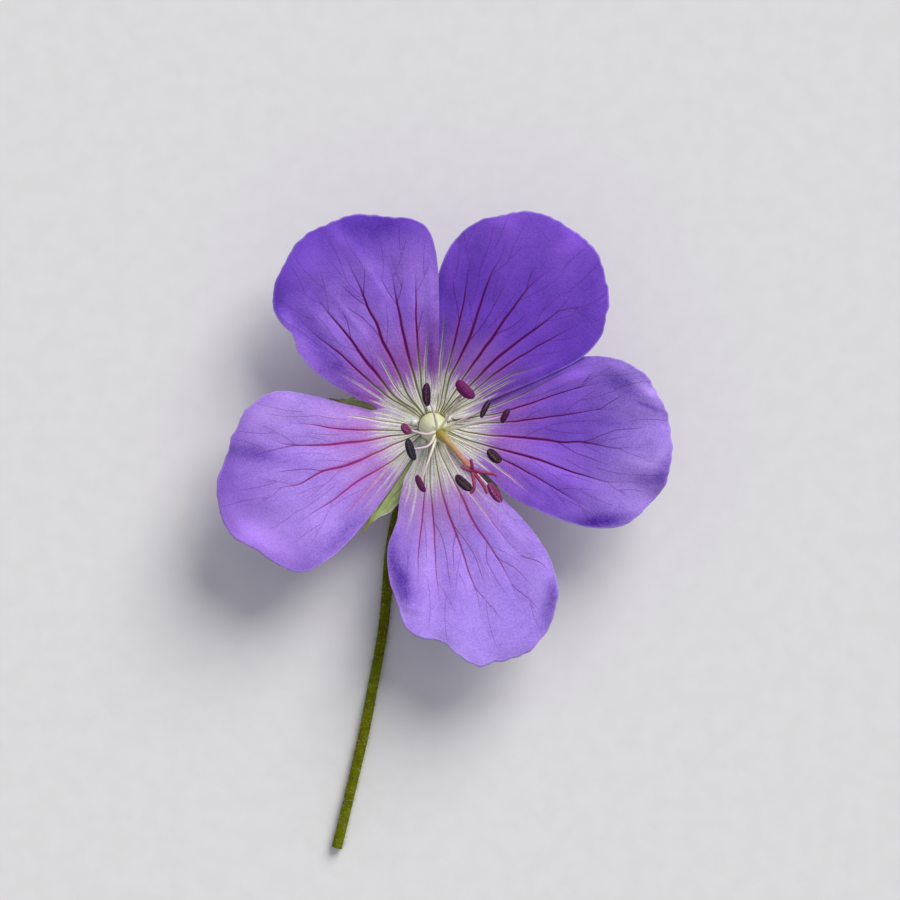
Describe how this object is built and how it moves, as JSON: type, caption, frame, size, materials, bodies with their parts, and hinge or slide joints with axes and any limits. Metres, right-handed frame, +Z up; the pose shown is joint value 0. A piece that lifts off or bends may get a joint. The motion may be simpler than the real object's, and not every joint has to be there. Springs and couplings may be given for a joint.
{
  "type": "hardy geranium flower",
  "caption": "Open violet-blue cranesbill flower with veined petals, pale eye, leaning style and a thin hairy stem, picked and lying face up.",
  "frame": {"origin": "middle of the footprint on the surface that the flower lies on", "axes": "+Y from the cut end of the stem to the top of the flower, +Z up out of the open flower's face"},
  "size_m": [0.0452, 0.0638, 0.0136],
  "materials": {
    "stem": "satin",
    "sepal": "matte",
    "petal": "matte",
    "nectary": "gloss",
    "filament": "satin",
    "anther": "matte",
    "pistil": "satin"
  },
  "bodies": {
    "root": {"stem": "stem", "sepal_1": "sepal", "sepal_2": "sepal", "sepal_3": "sepal", "sepal_4": "sepal", "sepal_5": "sepal", "petal_upper_left": "petal", "petal_upper_right": "petal", "petal_right": "petal", "petal_lower": "petal", "petal_left": "petal", "nectary_1": "nectary", "nectary_2": "nectary", "nectary_3": "nectary", "nectary_4": "nectary", "nectary_5": "nectary", "filament_1": "filament", "filament_2": "filament", "filament_3": "filament", "filament_4": "filament", "filament_5": "filament", "filament_6": "filament", "filament_7": "filament", "filament_8": "filament", "filament_9": "filament", "filament_10": "filament", "anther_1": "anther", "anther_2": "anther", "anther_3": "anther", "anther_4": "anther", "anther_5": "anther", "anther_6": "anther", "anther_7": "anther", "anther_8": "anther", "anther_9": "anther", "anther_10": "anther", "pistil": "pistil"}
  },
  "joints": []
}
